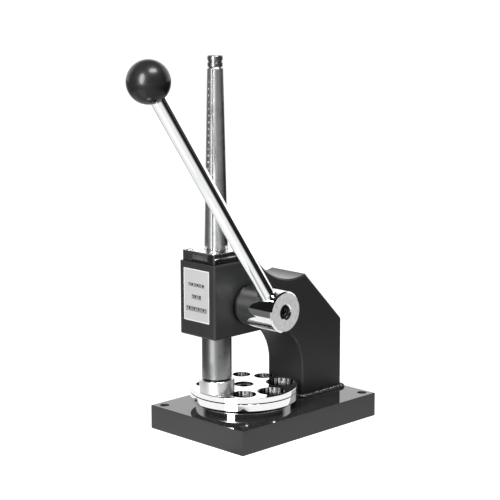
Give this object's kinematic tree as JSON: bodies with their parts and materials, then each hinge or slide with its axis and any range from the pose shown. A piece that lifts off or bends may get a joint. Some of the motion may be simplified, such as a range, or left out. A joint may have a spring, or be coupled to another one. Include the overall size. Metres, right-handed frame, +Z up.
{
  "type": "bench ring stretcher and reducer press",
  "caption": "Bench press with a C-frame, lever-driven rack ram, split tapered mandrel on top and two turning die plates under the ram foot.",
  "frame": {"origin": "centre of the base underside, on the plane the base rests on", "axes": "+Z up; -Y towards the head front and the label plate; +X towards the lever hub"},
  "size_m": [0.1505, 0.3276, 0.3879],
  "materials": {
    "black_paint": "gloss",
    "satin_paint": "satin",
    "label": "satin",
    "steel": "ground",
    "chrome": "polished",
    "black_screw": "black oxide",
    "knob": "gloss",
    "brass": "turned"
  },
  "bodies": {
    "press_frame": {"base_plate": "black_paint", "frame": "satin_paint", "weld_bead": "satin_paint", "label_plate": "label", "head_flange": "steel", "flange_screws": "black_screw", "hub_collar": "satin_paint", "die_table": "black_paint", "pivot_bolt": "black_screw"},
    "lever": {"pinion_shaft": "steel", "lever_hub": "chrome", "hub_key": "steel", "hub_set_screw": "black_screw", "lever_rod": "chrome", "ball_knob": "knob", "knob_insert": "brass", "retainer_washer": "steel", "retainer_screw": "black_screw"},
    "ram_body": {"ram": "steel", "pusher_foot": "chrome", "foot_screw": "black_screw", "draw_bar": "steel", "draw_bar_nut": "steel"},
    "segment_1": {"mandrel_segment_1": "steel"},
    "segment_2": {"mandrel_segment_2": "steel"},
    "segment_3": {"mandrel_segment_3": "steel"},
    "segment_4": {"mandrel_segment_4": "steel"},
    "lower_die": {"lower_die_plate": "chrome"},
    "upper_die": {"upper_die_plate": "chrome"}
  },
  "joints": [
    {"name": "lever_hinge", "type": "hinge", "parent": "press_frame", "child": "lever", "pos_m": [0, -0.0494, 0.1367], "axis": [1, 0, 0], "range_deg": [-100, 0]},
    {"name": "ram_slide", "type": "slide", "parent": "press_frame", "child": "ram_body", "axis": [0, 0, 1], "range_m": [0, 0.01965]},
    {"name": "segment_1_slide", "type": "slide", "parent": "press_frame", "child": "segment_1", "axis": [0.9659, -0.2588, 0], "range_m": [-0.00024, 0]},
    {"name": "segment_2_slide", "type": "slide", "parent": "press_frame", "child": "segment_2", "axis": [0.2588, 0.9659, 0], "range_m": [-0.00024, 0]},
    {"name": "segment_3_slide", "type": "slide", "parent": "press_frame", "child": "segment_3", "axis": [-0.9659, 0.2588, 0], "range_m": [-0.00024, 0]},
    {"name": "segment_4_slide", "type": "slide", "parent": "press_frame", "child": "segment_4", "axis": [-0.2588, -0.9659, 0], "range_m": [-0.00024, 0]},
    {"name": "lower_die_turn", "type": "hinge", "parent": "press_frame", "child": "lower_die", "pos_m": [0, -0.03, 0.036], "axis": [0, 0, 1], "continuous": true},
    {"name": "upper_die_turn", "type": "hinge", "parent": "press_frame", "child": "upper_die", "pos_m": [0, -0.03, 0.043], "axis": [0, 0, 1], "continuous": true}
  ],
  "couplings": [
    {"joint": "ram_slide", "follows": "lever_hinge", "m_per_rad": -0.01125},
    {"joint": "segment_1_slide", "follows": "lever_hinge", "m_per_rad": 0.000135},
    {"joint": "segment_2_slide", "follows": "lever_hinge", "m_per_rad": 0.000135},
    {"joint": "segment_3_slide", "follows": "lever_hinge", "m_per_rad": 0.000135},
    {"joint": "segment_4_slide", "follows": "lever_hinge", "m_per_rad": 0.000135}
  ]
}
